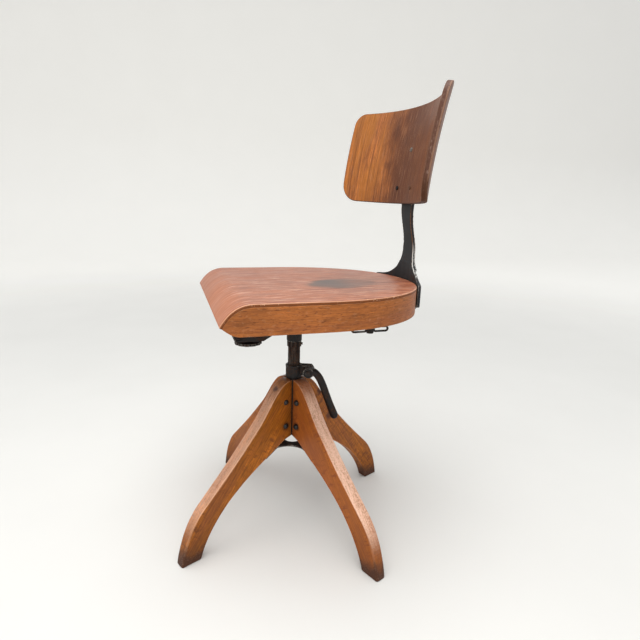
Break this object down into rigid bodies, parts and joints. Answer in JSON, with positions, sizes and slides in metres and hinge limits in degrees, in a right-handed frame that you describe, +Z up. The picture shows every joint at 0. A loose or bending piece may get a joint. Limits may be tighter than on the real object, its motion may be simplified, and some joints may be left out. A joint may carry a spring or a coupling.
{
  "type": "architects chair",
  "caption": "Swivelling work chair with four bolted wooden legs round an iron column, a bent wooden seat with a rolled front and a hollow back panel on an iron stem.",
  "frame": {"origin": "on the column's axis at the floor", "axes": "+Z up the column, -Y the way the sitter faces, +X to the sitter's left"},
  "size_m": [0.4754, 0.4929, 0.8375],
  "materials": {
    "beech": "worn satin varnish",
    "seat_veneer": "worn satin varnish",
    "back_veneer": "worn satin varnish",
    "dark_iron": "worn black, rusty at the edges",
    "rusty_post": "brown-black, rusty",
    "black_bolts": "dark, shiny domes",
    "dull_steel": "dull"
  },
  "bodies": {
    "base": {"column_hub": "dark_iron", "left_leg": "beech", "rear_leg": "beech", "right_leg": "beech", "front_leg": "beech", "leg_bolts": "black_bolts", "leg_cap_nuts": "black_bolts", "iron_cross": "dark_iron", "cross_screws": "dull_steel", "clamp_screw": "dull_steel"},
    "lever": {"clamp_lever": "dark_iron"},
    "column": {"post": "rusty_post", "stop_ring": "rusty_post", "stop_screw": "dull_steel", "thrust_ball": "dull_steel"},
    "seat": {"seat_board": "seat_veneer", "side_board": "beech", "front_rail": "beech", "front_cross_rail": "beech", "rear_cross_rail": "beech", "seat_bracket": "dark_iron", "socket_screw": "dull_steel", "bracket_screws": "dull_steel", "spring_rod": "dull_steel", "spring_cup": "dark_iron", "tilt_spring": "dull_steel", "tilt_pin": "dull_steel", "pin_rings": "dull_steel"},
    "rocker": {"rocker_frame": "dark_iron"},
    "wheel": {"hand_wheel": "dark_iron"},
    "back": {"back_stem": "dark_iron", "back_tongue": "dark_iron", "tongue_rivets": "dull_steel", "back_panel": "back_veneer", "panel_screws": "dull_steel"},
    "lock": {"lock_screw": "dark_iron"}
  },
  "joints": [
    {"name": "clamp_turn", "type": "hinge", "parent": "base", "child": "lever", "pos_m": [0.01111, 0.02894, 0.3225], "axis": [0.9336, -0.3584, 0], "range_deg": [0, 70]},
    {"name": "seat_height", "type": "slide", "parent": "base", "child": "column", "axis": [0, 0, 1], "range_m": [-0.038, 0.075]},
    {"name": "seat_swivel", "type": "hinge", "parent": "column", "child": "seat", "pos_m": [0, 0, 0.42], "axis": [0, 0, 1], "continuous": true},
    {"name": "rocker_tilt", "type": "hinge", "parent": "seat", "child": "rocker", "pos_m": [0, 0.054, 0.44], "axis": [-1, 0, 0], "range_deg": [0, 8], "stiffness_Nm_per_rad": 120, "springref_deg": -14.32, "deforming": ["tilt_spring"]},
    {"name": "wheel_turn", "type": "hinge", "parent": "seat", "child": "wheel", "pos_m": [0, -0.091, 0.385], "axis": [0, 0, 1], "continuous": true},
    {"name": "back_depth", "type": "slide", "parent": "rocker", "child": "back", "axis": [0, 1, 0], "range_m": [0, 0.03]},
    {"name": "lock_turn", "type": "hinge", "parent": "rocker", "child": "lock", "pos_m": [0, 0.161, 0.4], "axis": [0, 0, 1], "range_deg": [-270, 0]}
  ]
}
